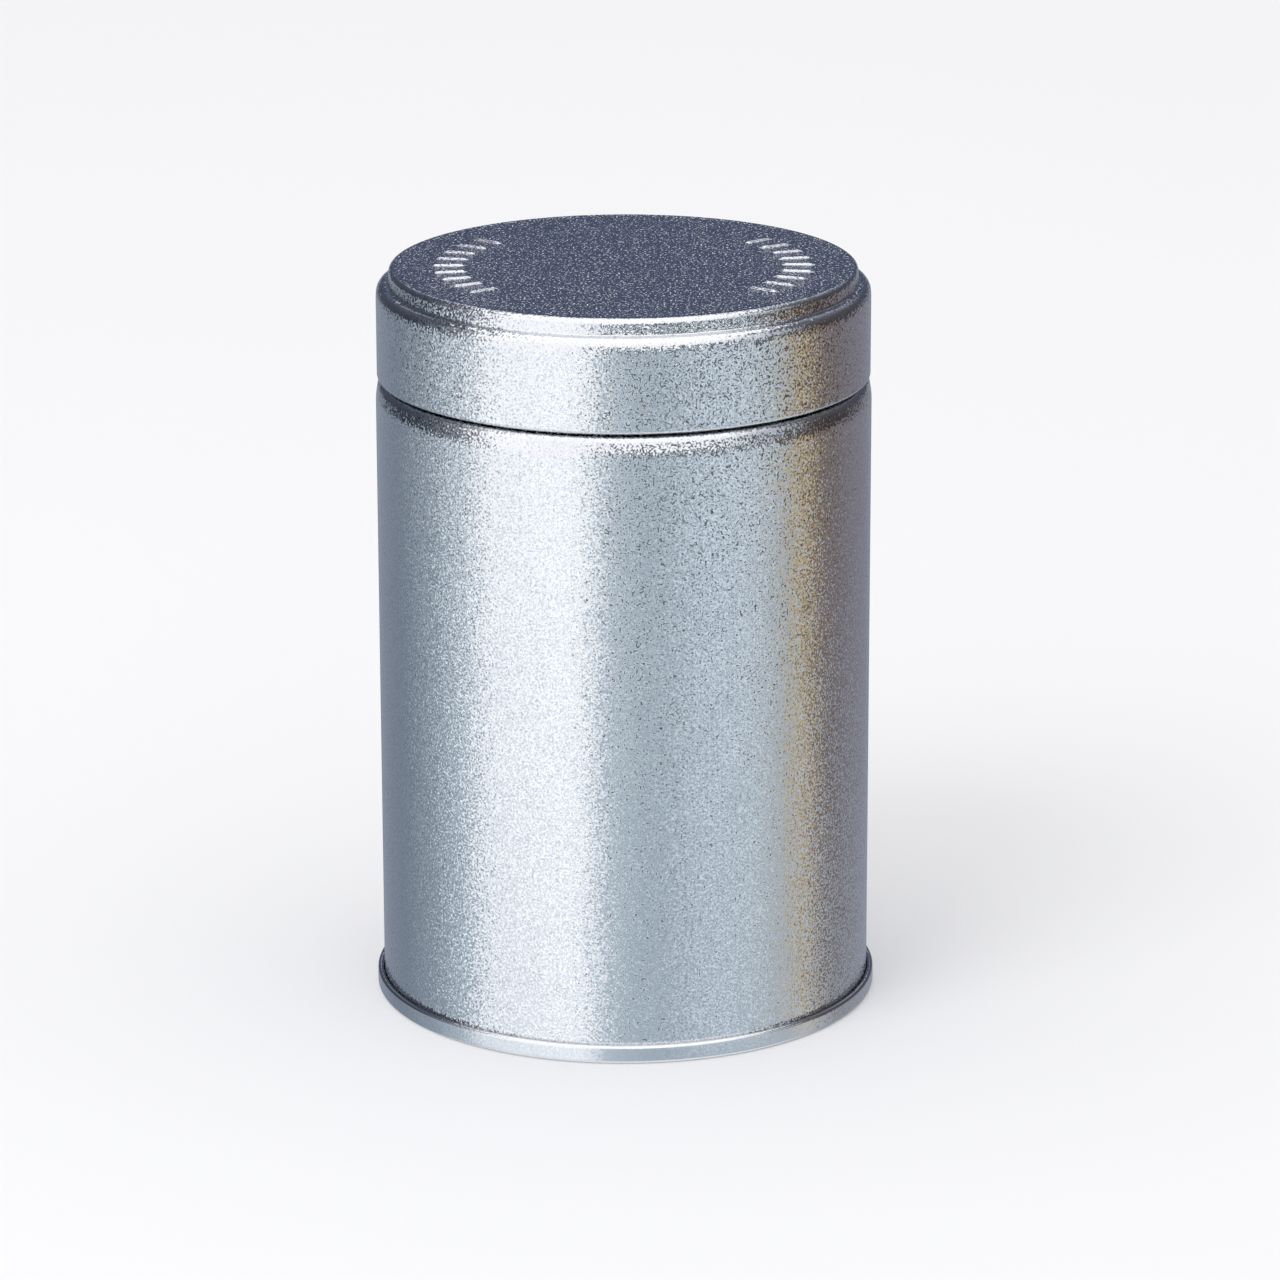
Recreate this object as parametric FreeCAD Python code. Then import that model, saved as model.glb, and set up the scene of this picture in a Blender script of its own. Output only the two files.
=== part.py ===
import FreeCAD, Part
import math
import os

from FreeCAD import Vector

# A tall round slip-lid candle tin, closed. Millimetres, +Z up, origin at the centre of the base.
# The tin is rolled and stamped tinplate: a necked body with a folded side seam, a stamped bottom
# end that is double seamed on over a sealing compound, and a stepped lid with a curled edge.
# Inside stands the candle: wax poured round a cored cotton wick in a steel sustainer, which an
# adhesive disc holds to the bottom end.

# Driving dimensions
SHEET = 0.28
BODY_RADIUS = 37.5
SEAM_RADIUS = 38.5
SEAM_HEIGHT = 2.8
SHOULDER_Z = 96.26
SHOULDER_RISE = 0.35
NECK_RADIUS = 36.1
NECK_TOP_Z = 110.85
LID_RADIUS = 37.3
LID_EDGE_Z = 96.97
LEDGE_Z = 111.3
PANEL_RADIUS = 35.3
TOTAL_HEIGHT = 113.66
WAX_TOP_Z = 84.0
WICK_RADIUS = 1.5
WICK_TIP_Z = 91.0
SUSTAINER_RADIUS = 10.0

# Bends, measured on the middle of the sheet
HALF = SHEET / 2
SHOULDER_BEND = 1.06
NECK_BEND = 0.3
NECK_CURL = 0.61
LID_CURL = 0.36
LID_SHOULDER_BEND = 1.16
LEDGE_BEND = 0.3
PANEL_BEND = 0.62
END_BEND = 0.5
SEAM_CORNER_BEND = 0.45
CHUCK_CORNER_BEND = 0.3

# The curls' inner ends: how tightly they bend, and how far they stand in from the sheet's face
NECK_CURL_END_BEND = 0.51
NECK_CURL_END_INSET = 0.25
LID_CURL_END_BEND = 0.3
LID_CURL_END_INSET = 0.17

# Both walls lean in a little just under their shoulder: where, how far over, and how gently
BODY_LEAN_Z = 93.9
BODY_LEAN_DEGREES = 9.0
BODY_LEAN_BEND = 9.0
LID_LEAN_Z = 109.3
LID_LEAN_DEGREES = 5.0
LID_LEAN_BEND = 8.0

# The lid's ledge falls this much outwards, its step spreads this much towards its foot, and its
# panel rises this much to a narrow rim
LEDGE_FALL = 0.22
STEP_DRAFT = 0.17
RIM_RISE = 0.05
RIM_WIDTH = 1.0
RIM_BEND = 4.0

# The double seam: five layers of sheet side by side, with this much between them
LAYER_GAP = 0.053
LAYER = SHEET + LAYER_GAP
HOOK_TIP_GAP = 0.4
COVER_HOOK_TIP_GAP = 0.34
COMPOUND_SIDE_GAP = 0.02
COMPOUND_FOOT_GAP = 0.03
COMPOUND_TOP_GAP = 0.1
COMPOUND_CROWN = 0.05

# The bottom end's panel rises inside the body and steps down twice towards the middle
END_PANEL_Z = 3.6
RING_RADIUS = 34.3
RING_DROP = 0.7
DISH_RADIUS = 12.6
DISH_RISE = 0.4
STEP_RUN = 0.6

# Small fits and pieces
FIT_GAP = 0.05
STICKER_THICKNESS = 0.8
SUSTAINER_THICKNESS = 0.3
SUSTAINER_NECK_HEIGHT = 8.0
SUSTAINER_BORE_BEND = 0.2
SUSTAINER_NECK_BEND = 0.3
WAX_OVER_NECK_BEND = 0.25
CORE_RADIUS = 0.65
MENISCUS = 1.2
SIDE_SEAM_WIDTH = 3.2
SIDE_SEAM_HEIGHT = 0.25
SIDE_SEAM_MARGIN = 0.6
SIDE_SEAM_UNDER_LEAN = 1.0
OVERCUT = 1.0

# The raised marks on the lid: two arcs of plain radial bars, left and right
MARK_INNER_RADIUS = 24.0
MARK_LENGTH = 4.6
MARK_WIDTH = 0.8
MARK_HEIGHT = 0.2
MARK_COUNT = 9
MARK_STEP_DEGREES = 9.5
MARK_CENTRES_DEGREES = (0.0, 180.0)

AXIS_POINT = Vector(0, 0, 0)
AXIS = Vector(0, 0, 1)


def heading(start, end):
    """The unit direction from one (radius, z, bend) corner to the next."""
    run = end[0] - start[0]
    rise = end[1] - start[1]
    length = math.hypot(run, rise)
    return run / length, rise / length


def side_of(path, shift):
    """The path moved to its left by shift, with each bend kept round the same centre."""
    moved = []
    last = len(path) - 1
    for index, (radius, z, bend) in enumerate(path):
        before = heading(path[max(index - 1, 0)], path[max(index, 1)])
        after = heading(path[min(index, last - 1)], path[min(index + 1, last)])
        spread = 1 + before[0] * after[0] + before[1] * after[1]
        left_r = -(before[1] + after[1]) / spread
        left_z = (before[0] + after[0]) / spread
        turn = before[0] * after[1] - before[1] * after[0]
        new_bend = bend - shift * math.copysign(1.0, turn) if bend else 0.0
        moved.append((radius + left_r * shift, z + left_z * shift, new_bend))
    return moved


def edges_along(path):
    """Straight runs and arcs through the corners of a path, in the XZ plane."""
    edges = []
    start = Vector(path[0][0], 0, path[0][1])
    for before, corner, after in zip(path, path[1:], path[2:]):
        point = Vector(corner[0], 0, corner[1])
        into = heading(before, corner)
        out = heading(corner, after)
        half_turn = math.acos(max(-1.0, min(1.0, into[0] * out[0] + into[1] * out[1]))) / 2
        reach = corner[2] * math.tan(half_turn)
        if reach <= 0:
            edges.append(Part.makeLine(start, point))
            start = point
            continue
        begin = point - Vector(into[0], 0, into[1]) * reach
        end = point + Vector(out[0], 0, out[1]) * reach
        inward = (begin + end) * 0.5 - point
        inward.normalize()
        middle = point + inward * corner[2] * (1 / math.cos(half_turn) - 1)
        if (begin - start).Length > 1e-6:
            edges.append(Part.makeLine(start, begin))
        edges.append(Part.Arc(begin, middle, end).toShape())
        start = end
    finish = Vector(path[-1][0], 0, path[-1][1])
    if (finish - start).Length > 1e-6:
        edges.append(Part.makeLine(start, finish))
    return edges


def turned(edges):
    """A closed outline turned once round the tin's axis."""
    return Part.Face(Part.Wire(edges)).revolve(AXIS_POINT, AXIS, 360)


def turned_outline(path):
    """A solid of revolution from the corners of its closed outline."""
    edges = edges_along(path)
    edges.append(Part.makeLine(edges[-1].lastVertex().Point, edges[0].firstVertex().Point))
    return turned(edges)


def turned_sheet(path):
    """Sheet metal of one thickness that follows a path, turned round the axis."""
    left = edges_along(side_of(path, HALF))
    right = edges_along(side_of(path, -HALF))
    first_cap = Part.makeLine(right[0].firstVertex().Point, left[0].firstVertex().Point)
    last_cap = Part.makeLine(left[-1].lastVertex().Point, right[-1].lastVertex().Point)
    return turned([first_cap] + left + [last_cap] + right[::-1])


def seam_layers():
    """Middle radii of the double seam's layers, from the outside in."""
    seaming_wall = SEAM_RADIUS - HALF
    body_hook = seaming_wall - LAYER
    cover_hook = body_hook - LAYER
    body_wall = BODY_RADIUS - HALF
    chuck_wall = body_wall - LAYER
    return seaming_wall, body_hook, cover_hook, body_wall, chuck_wall


def body_path():
    """The body sheet from the tip of its hook, up the wall and neck, into the top curl."""
    _, body_hook, _, body_wall, _ = seam_layers()
    fold = (body_hook - body_wall) / 2
    fold_z = SHEET + LAYER_GAP + HALF
    neck = NECK_RADIUS - HALF
    curl_z = NECK_TOP_Z - HALF
    lean_in = (SHOULDER_Z - BODY_LEAN_Z) * math.tan(math.radians(BODY_LEAN_DEGREES))
    return [
        (body_hook, SEAM_HEIGHT - SHEET - HOOK_TIP_GAP, 0),
        (body_hook, fold_z, fold),
        (body_wall, fold_z, fold),
        (body_wall, BODY_LEAN_Z, BODY_LEAN_BEND),
        (body_wall - lean_in, SHOULDER_Z, SHOULDER_BEND),
        (neck, SHOULDER_Z + SHOULDER_RISE, NECK_BEND),
        (neck, curl_z, NECK_CURL),
        (neck - 2 * NECK_CURL, curl_z, NECK_CURL),
        (neck - 2 * NECK_CURL, curl_z - 2 * NECK_CURL, NECK_CURL_END_BEND),
        (neck - HALF - NECK_CURL_END_INSET, curl_z - 2 * NECK_CURL, 0),
    ]


def side_seam():
    """The flattened fold that joins the rolled body sheet, down the back of the wall."""
    low = SEAM_HEIGHT + SIDE_SEAM_MARGIN
    high = BODY_LEAN_Z - SIDE_SEAM_UNDER_LEAN - SIDE_SEAM_MARGIN
    outline = [
        (BODY_RADIUS - HALF, low, 0),
        (BODY_RADIUS + SIDE_SEAM_HEIGHT, low, 0),
        (BODY_RADIUS + SIDE_SEAM_HEIGHT, high, 0),
        (BODY_RADIUS - HALF, high, 0),
    ]
    edges = edges_along(outline)
    edges.append(Part.makeLine(edges[-1].lastVertex().Point, edges[0].firstVertex().Point))
    sweep = math.degrees(SIDE_SEAM_WIDTH / BODY_RADIUS)
    strip = Part.Face(Part.Wire(edges)).revolve(AXIS_POINT, AXIS, sweep)
    strip.rotate(AXIS_POINT, AXIS, 90 - sweep / 2)
    return strip


def end_panel_path():
    """The bottom end's panel, from the chuck wall in to the axis."""
    *_, chuck_wall = seam_layers()
    ring_z = END_PANEL_Z - RING_DROP
    dish_z = ring_z + DISH_RISE
    return [
        (chuck_wall, END_PANEL_Z, END_BEND),
        (RING_RADIUS + STEP_RUN, END_PANEL_Z, END_BEND),
        (RING_RADIUS, ring_z, END_BEND),
        (DISH_RADIUS + STEP_RUN, ring_z, END_BEND),
        (DISH_RADIUS, dish_z, END_BEND),
        (0, dish_z, 0),
    ]


def end_path():
    """The bottom end from the tip of its hook, round the seam and across the panel."""
    seaming_wall, _, cover_hook, _, chuck_wall = seam_layers()
    fold = (seaming_wall - cover_hook) / 2
    top = SEAM_HEIGHT - HALF
    return [
        (cover_hook, SHEET + LAYER_GAP + SHEET + COVER_HOOK_TIP_GAP, 0),
        (cover_hook, top, fold),
        (seaming_wall, top, fold),
        (seaming_wall, HALF, SEAM_CORNER_BEND),
        (chuck_wall, HALF, CHUCK_CORNER_BEND),
    ] + end_panel_path()


def lid_path():
    """The lid from the inner end of its bottom curl, up the wall, over the step to the axis."""
    wall = LID_RADIUS - HALF
    edge_z = LID_EDGE_Z + HALF
    step = PANEL_RADIUS - HALF
    ledge_z = LEDGE_Z - HALF
    panel_z = TOTAL_HEIGHT - HALF
    shoulder_z = ledge_z - LEDGE_FALL
    lean_in = (shoulder_z - LID_LEAN_Z) * math.tan(math.radians(LID_LEAN_DEGREES))
    return [
        (wall - HALF - LID_CURL_END_INSET, edge_z + 2 * LID_CURL, 0),
        (wall - 2 * LID_CURL, edge_z + 2 * LID_CURL, LID_CURL_END_BEND),
        (wall - 2 * LID_CURL, edge_z, LID_CURL),
        (wall, edge_z, LID_CURL),
        (wall, LID_LEAN_Z, LID_LEAN_BEND),
        (wall - lean_in, shoulder_z, LID_SHOULDER_BEND),
        (step + STEP_DRAFT, ledge_z, LEDGE_BEND),
        (step, panel_z + RIM_RISE, PANEL_BEND),
        (step - PANEL_BEND - RIM_WIDTH, panel_z, RIM_BEND),
        (0, panel_z, 0),
    ]


def lid_mark(angle):
    """One raised bar with round ends, pointing away from the lid's centre."""
    half_width = MARK_WIDTH / 2
    inner = MARK_INNER_RADIUS + half_width
    outer = MARK_INNER_RADIUS + MARK_LENGTH - half_width
    foot_z = TOTAL_HEIGHT - HALF
    outer_end = Part.Arc(Vector(outer, -half_width, foot_z), Vector(outer + half_width, 0, foot_z),
                         Vector(outer, half_width, foot_z)).toShape()
    inner_end = Part.Arc(Vector(inner, half_width, foot_z), Vector(inner - half_width, 0, foot_z),
                         Vector(inner, -half_width, foot_z)).toShape()
    left = Part.makeLine(Vector(outer, half_width, foot_z), Vector(inner, half_width, foot_z))
    right = Part.makeLine(Vector(inner, -half_width, foot_z), Vector(outer, -half_width, foot_z))
    bar = Part.Face(Part.Wire([outer_end, left, inner_end, right]))
    bar = bar.extrude(Vector(0, 0, HALF + MARK_HEIGHT))
    bar.rotate(AXIS_POINT, AXIS, angle)
    return bar


def make_body_shell():
    return turned_sheet(body_path()).fuse(side_seam()).removeSplitter()


def make_bottom_end():
    return turned_sheet(end_path())


def make_lid_shell():
    lid = turned_sheet(lid_path())
    first = -MARK_STEP_DEGREES * (MARK_COUNT - 1) / 2
    for centre in MARK_CENTRES_DEGREES:
        for index in range(MARK_COUNT):
            lid = lid.fuse(lid_mark(centre + first + index * MARK_STEP_DEGREES))
    return lid


def make_seam_compound():
    """The ring of sealing compound in the pocket over the body hook's tip."""
    _, body_hook, *_ = seam_layers()
    half_width = HALF - COMPOUND_SIDE_GAP
    low = SEAM_HEIGHT - SHEET - HOOK_TIP_GAP + COMPOUND_FOOT_GAP
    high = SEAM_HEIGHT - SHEET - COMPOUND_TOP_GAP
    return turned_outline([
        (body_hook - half_width, low, 0),
        (body_hook + half_width, low, 0),
        (body_hook + half_width, high - COMPOUND_CROWN, 0),
        (body_hook, high, 0),
        (body_hook - half_width, high - COMPOUND_CROWN, 0),
    ])


def panel_top_z():
    """Height of the bottom end's upper face in the middle."""
    return end_panel_path()[-1][1] + HALF


def make_wick_sticker():
    base = panel_top_z()
    return Part.makeCylinder(SUSTAINER_RADIUS, STICKER_THICKNESS, Vector(0, 0, base), AXIS)


def sustainer_outline():
    """The sustainer's section: a thin disc that turns up into a neck round the wick."""
    base = panel_top_z() + STICKER_THICKNESS
    bore = WICK_RADIUS + FIT_GAP
    neck = bore + SUSTAINER_THICKNESS
    top = base + SUSTAINER_THICKNESS
    tip = top + SUSTAINER_NECK_HEIGHT
    return [
        (bore, tip, 0),
        (bore, base, SUSTAINER_BORE_BEND),
        (SUSTAINER_RADIUS, base, 0),
        (SUSTAINER_RADIUS, top, 0),
        (neck, top, SUSTAINER_NECK_BEND),
        (neck, tip, 0),
    ]


def make_wick_sustainer():
    return turned_outline(sustainer_outline())


def wick_foot_z():
    return panel_top_z() + STICKER_THICKNESS + FIT_GAP


def make_wick_core():
    foot = wick_foot_z()
    return Part.makeCylinder(CORE_RADIUS, WICK_TIP_Z - foot, Vector(0, 0, foot), AXIS)


def make_wick_braid():
    foot = wick_foot_z()
    height = WICK_TIP_Z - foot
    outer = Part.makeCylinder(WICK_RADIUS, height, Vector(0, 0, foot), AXIS)
    inner = Part.makeCylinder(CORE_RADIUS + FIT_GAP, height, Vector(0, 0, foot), AXIS)
    return outer.cut(inner)


def make_wax_fill():
    """Wax from the bottom end's panel to its own level, open round everything it is poured on."""
    wall = BODY_RADIUS - SHEET - FIT_GAP
    # The panel path runs inwards, so the can's inside is on its right.
    floor = side_of(end_panel_path(), -(HALF + FIT_GAP))
    outer_floor = [(wall, floor[1][1], 0)] + floor[1:]
    outline = [(0, WAX_TOP_Z, 0), (wall - MENISCUS, WAX_TOP_Z, MENISCUS)]
    outline += [(wall, WAX_TOP_Z + MENISCUS / 2, 0)] + outer_floor
    wax = turned_outline(outline)
    base = panel_top_z() - OVERCUT
    disc_top = panel_top_z() + STICKER_THICKNESS + SUSTAINER_THICKNESS
    neck_top = disc_top + SUSTAINER_NECK_HEIGHT
    hollow = turned_outline([
        (0, base, 0),
        (SUSTAINER_RADIUS + FIT_GAP, base, 0),
        (SUSTAINER_RADIUS + FIT_GAP, disc_top + FIT_GAP, 0),
        (WICK_RADIUS + 2 * FIT_GAP + SUSTAINER_THICKNESS, disc_top + FIT_GAP, WAX_OVER_NECK_BEND),
        (WICK_RADIUS + 2 * FIT_GAP + SUSTAINER_THICKNESS, neck_top + FIT_GAP, 0),
        (WICK_RADIUS + FIT_GAP, neck_top + FIT_GAP, 0),
        (WICK_RADIUS + FIT_GAP, WAX_TOP_Z + MENISCUS, 0),
        (0, WAX_TOP_Z + MENISCUS, 0),
    ])
    return wax.cut(hollow)


NODES = {
    "body_shell": make_body_shell,
    "bottom_end": make_bottom_end,
    "seam_compound": make_seam_compound,
    "lid_shell": make_lid_shell,
    "wax_fill": make_wax_fill,
    "wick_braid": make_wick_braid,
    "wick_core": make_wick_core,
    "wick_sustainer": make_wick_sustainer,
    "wick_sticker": make_wick_sticker,
}

os.makedirs("parts", exist_ok=True)
for name, make in NODES.items():
    shape = make()
    if not shape.isValid() or len(shape.Solids) != 1:
        raise SystemExit(name + " is not one valid solid")
    shape.exportStep("parts/" + name + ".step")
    print(name, "volume", round(shape.Volume, 1), "mm3, top", round(shape.BoundBox.ZMax, 2))
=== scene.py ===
import math

import bpy
import numpy as np
from mathutils import Matrix, Vector


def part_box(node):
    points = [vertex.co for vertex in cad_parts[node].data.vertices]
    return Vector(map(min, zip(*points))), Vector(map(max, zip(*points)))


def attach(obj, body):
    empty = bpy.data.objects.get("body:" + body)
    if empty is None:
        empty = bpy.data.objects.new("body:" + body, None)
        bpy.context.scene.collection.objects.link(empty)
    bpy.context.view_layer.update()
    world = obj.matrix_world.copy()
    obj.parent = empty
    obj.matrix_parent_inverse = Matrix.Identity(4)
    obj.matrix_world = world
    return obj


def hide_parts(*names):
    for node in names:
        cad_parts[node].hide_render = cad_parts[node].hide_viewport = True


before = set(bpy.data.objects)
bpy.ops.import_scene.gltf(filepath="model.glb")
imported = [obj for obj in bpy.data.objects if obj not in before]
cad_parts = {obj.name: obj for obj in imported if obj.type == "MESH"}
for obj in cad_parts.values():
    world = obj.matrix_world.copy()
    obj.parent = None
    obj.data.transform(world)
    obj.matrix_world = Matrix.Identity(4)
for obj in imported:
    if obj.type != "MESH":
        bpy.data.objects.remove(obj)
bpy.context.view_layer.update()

# ---------------------------------------------------------------- sizes, metres
MM = 0.001
SHEET = 0.28 * MM
HALF = SHEET / 2

LID_LOW, LID_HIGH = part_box("lid_shell")
BODY_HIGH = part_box("body_shell")[1]
END_LOW, END_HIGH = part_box("bottom_end")
WAX_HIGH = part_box("wax_fill")[1]
BRAID_LOW, BRAID_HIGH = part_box("wick_braid")
STICKER_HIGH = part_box("wick_sticker")[1]
SUSTAINER_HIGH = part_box("wick_sustainer")[1]

# The gap between the layers of sheet in the base seam, and the room over its hooks' tips
LAYER_GAP = 0.053 * MM
LAYER = SHEET + LAYER_GAP
HOOK_TIP_GAP = 0.4 * MM
COVER_HOOK_TIP_Z = 2 * SHEET + 0.39 * MM

# The lid, from its box down and in
MARK_HEIGHT = 0.2 * MM
PANEL_Z = LID_HIGH.z - MARK_HEIGHT
LEDGE_Z = PANEL_Z - 2.36 * MM
PANEL_RADIUS = LID_HIGH.x - 2.0 * MM
LID_CURL = 0.36 * MM
LID_CURL_END_BEND = 0.30 * MM
LID_CURL_END_INSET = 0.17 * MM
LID_LEAN_Z = PANEL_Z - 4.36 * MM
LID_LEAN_BEND = 8.0 * MM
LID_SHOULDER_BEND = 1.16 * MM
LID_LEAN = math.tan(math.radians(5.0))
LEDGE_FALL = 0.22 * MM
LEDGE_BEND = 0.30 * MM
STEP_DRAFT = 0.17 * MM
RIM_RISE = 0.05 * MM
RIM_WIDTH = 1.0 * MM
RIM_BEND = 4.0 * MM
PANEL_BEND = 0.62 * MM

# The body: wall inside the seam ring, neck inside the lid's curl
SEAM_RADIUS = END_HIGH.x
BODY_RADIUS = SEAM_RADIUS - 1.0 * MM
SEAM_HEIGHT = END_LOW.z + 2.8 * MM
NECK_RADIUS = BODY_RADIUS - 1.4 * MM
NECK_BEND = 0.3 * MM
NECK_CURL = 0.61 * MM
NECK_CURL_END_BEND = 0.51 * MM
NECK_CURL_END_INSET = 0.25 * MM
SHOULDER_Z = LID_LOW.z - 0.71 * MM
SHOULDER_RISE = 0.35 * MM
SHOULDER_BEND = 1.06 * MM
BODY_LEAN_Z = SHOULDER_Z - 2.36 * MM
BODY_LEAN = math.tan(math.radians(9.0))
BODY_LEAN_BEND = 9.0 * MM

# The side seam, folded flat down the back of the wall
SIDE_SEAM_HALF = 1.6 * MM
SIDE_SEAM_HEIGHT = 0.25 * MM
SIDE_SEAM_ANGLE = math.pi / 2
SIDE_SEAM_RAMP = 0.12 * MM
SIDE_SEAM_FADE = 0.5 * MM
SIDE_SEAM_LOW = SEAM_HEIGHT + SIDE_SEAM_FADE
SIDE_SEAM_HIGH = BODY_LEAN_Z - 1.6 * MM
GROOVE_OFFSET = 0.35 * MM
GROOVE_HALF = 0.2 * MM
GROOVE_DEPTH = 0.06 * MM
# Where the mesh is divided across each edge of the seam, outward from the edge
SIDE_SEAM_LINES = [offset * MM for offset in (-0.14, -0.07, 0, 0.07, 0.14, 0.25, 0.35, 0.45, 0.6)]

# The bottom end's panel, which steps down twice towards the middle
RING_RADIUS = 34.3 * MM
DISH_RADIUS = 12.6 * MM
STEP_RUN = 0.6 * MM
RING_DROP = 0.7 * MM
DISH_RISE = 0.4 * MM
END_BEND = 0.5 * MM
SEAM_CORNER_BEND = 0.45 * MM
CHUCK_CORNER_BEND = 0.30 * MM

# The marks: two arcs of plain radial bars
MARK_RADIUS = 26.3 * MM
MARK_REACH = 1.9 * MM
MARK_HALF_WIDTH = 0.4 * MM
MARK_RAMP = 0.7 * MM
MARK_STEP = math.radians(9.5)
MARK_COUNT = 9
MARK_ARC_MARGIN = math.radians(2.5)
MARK_RING_REACH = MARK_REACH + MARK_HALF_WIDTH + MARK_RAMP
PANEL_LOW = PANEL_Z - 1.5 * SHEET

# Metres within which two places are one, and radians within which a path runs straight on
SAME_PLACE = 1e-9
STRAIGHT = 1e-6

# How finely the outlines and turned meshes are divided
ARC_STEP = math.radians(11.0)
GENTLE_ARC = 5 * MM
GENTLE_ARC_STEPS = 6
RUN_END_INSET = 0.12 * MM
SHORTEST_RUN = 5 * RUN_END_INSET
LONGEST_RUN = 7 * MM
TURN_STEPS = 360
FINE_MARK_STEPS = 192
COARSE_LID_STEPS = 60
MARK_RING_SPACING = 0.25 * MM
HIDDEN_RING_SPACING = 0.6 * MM


# ---------------------------------------------------------------- outlines of bent sheet
def heading(start, end):
    run = end[0] - start[0]
    rise = end[1] - start[1]
    length = math.hypot(run, rise)
    return run / length, rise / length


def side_of(path, shift):
    """A path of (radius, z, bend) corners, moved to its left by shift."""
    moved = []
    last = len(path) - 1
    for index, (radius, z, bend) in enumerate(path):
        before = heading(path[max(index - 1, 0)], path[max(index, 1)])
        after = heading(path[min(index, last - 1)], path[min(index + 1, last)])
        spread = 1 + before[0] * after[0] + before[1] * after[1]
        left_r = -(before[1] + after[1]) / spread
        left_z = (before[0] + after[0]) / spread
        turn = before[0] * after[1] - before[1] * after[0]
        new_bend = bend - shift * math.copysign(1.0, turn) if bend else 0.0
        moved.append((radius + left_r * shift, z + left_z * shift, new_bend))
    return moved


def rounded(path):
    """Points along a path, with each bend as a round arc."""
    points = [path[0][:2]]
    for before, corner, after in zip(path, path[1:], path[2:]):
        into = heading(before, corner)
        out = heading(corner, after)
        dot = max(-1.0, min(1.0, into[0] * out[0] + into[1] * out[1]))
        turn = math.copysign(math.acos(dot), into[0] * out[1] - into[1] * out[0])
        if corner[2] <= 0 or abs(turn) < STRAIGHT:
            points.append(corner[:2])
            continue
        reach = corner[2] * math.tan(abs(turn) / 2)
        start = (corner[0] - into[0] * reach, corner[1] - into[1] * reach)
        side = math.copysign(corner[2], turn)
        centre = (start[0] - into[1] * side, start[1] + into[0] * side)
        steps = max(GENTLE_ARC_STEPS if corner[2] > GENTLE_ARC else 2, math.ceil(abs(turn) / ARC_STEP))
        for step in range(steps + 1):
            angle = turn * step / steps
            arm = (start[0] - centre[0], start[1] - centre[1])
            cos, sin = math.cos(angle), math.sin(angle)
            points.append((centre[0] + arm[0] * cos - arm[1] * sin,
                           centre[1] + arm[0] * sin + arm[1] * cos))
    points.append(path[-1][:2])
    return points


# ---------------------------------------------------------------- meshes
def new_piece(name, vertices, faces, body, node, material):
    mesh = bpy.data.meshes.new(name)
    mesh.from_pydata(vertices, [], faces)
    mesh.validate()
    for polygon in mesh.polygons:
        polygon.use_smooth = True
    piece = bpy.data.objects.new(name, mesh)
    bpy.context.scene.collection.objects.link(piece)
    mesh.materials.append(material)
    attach(piece, body)
    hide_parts(node)
    return piece


def lathe(outline, angles, bulge=None):
    """Vertices and faces of an outline turned round Z. An outline that starts and ends on the
    axis gets a pole there; any other is closed on itself. bulge moves a vertex if it is given."""
    poles = outline[0][0] < SAME_PLACE
    rings = outline[1:-1] if poles else outline
    vertices = []
    for radius, z in rings:
        for angle in angles:
            point_radius, point_z = bulge(radius, z, angle) if bulge else (radius, z)
            vertices.append((point_radius * math.cos(angle), point_radius * math.sin(angle), point_z))
    count = len(angles)
    faces = []
    spans = len(rings) - 1 if poles else len(rings)
    for ring in range(spans):
        low = ring * count
        high = (ring + 1) % len(rings) * count
        for step in range(count):
            after = (step + 1) % count
            faces.append((low + step, high + step, high + after, low + after))
    if poles:
        first = len(vertices)
        vertices.append((0.0, 0.0, outline[0][1]))
        vertices.append((0.0, 0.0, outline[-1][1]))
        end_ring = (len(rings) - 1) * count
        for step in range(count):
            after = (step + 1) % count
            faces.append((first, step, after))
            faces.append((first + 1, end_ring + after, end_ring + step))
    return vertices, faces


def even_angles(count):
    return [2 * math.pi * step / count for step in range(count)]


def smooth_step(low, high, value):
    share = max(0.0, min(1.0, (value - low) / (high - low)))
    return share * share * (3 - 2 * share)


# ---------------------------------------------------------------- the tinplate pieces
def supported(points):
    """Adds points near the ends of long straight runs, and along them, to keep shading true."""
    result = [points[0]]
    for start, end in zip(points, points[1:]):
        length = math.hypot(end[0] - start[0], end[1] - start[1])
        shares = []
        if length > SHORTEST_RUN:
            inner = length - 2 * RUN_END_INSET
            parts = math.ceil(inner / LONGEST_RUN)
            shares = [(RUN_END_INSET + inner * step / parts) / length for step in range(parts + 1)]
        for share in shares:
            result.append((start[0] + (end[0] - start[0]) * share, start[1] + (end[1] - start[1]) * share))
        result.append(end)
    return result


def lid_path():
    wall = LID_HIGH.x - HALF
    edge = LID_LOW.z + HALF
    step = PANEL_RADIUS - HALF
    ledge = LEDGE_Z - HALF
    panel = PANEL_Z - HALF
    shoulder = ledge - LEDGE_FALL
    return [
        (wall - HALF - LID_CURL_END_INSET, edge + 2 * LID_CURL, 0),
        (wall - 2 * LID_CURL, edge + 2 * LID_CURL, LID_CURL_END_BEND),
        (wall - 2 * LID_CURL, edge, LID_CURL),
        (wall, edge, LID_CURL),
        (wall, LID_LEAN_Z, LID_LEAN_BEND),
        (wall - (shoulder - LID_LEAN_Z) * LID_LEAN, shoulder, LID_SHOULDER_BEND),
        (step + STEP_DRAFT, ledge, LEDGE_BEND),
        (step, panel + RIM_RISE, PANEL_BEND),
        (step - PANEL_BEND - RIM_WIDTH, panel, RIM_BEND),
        (0, panel, 0),
    ]


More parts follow.
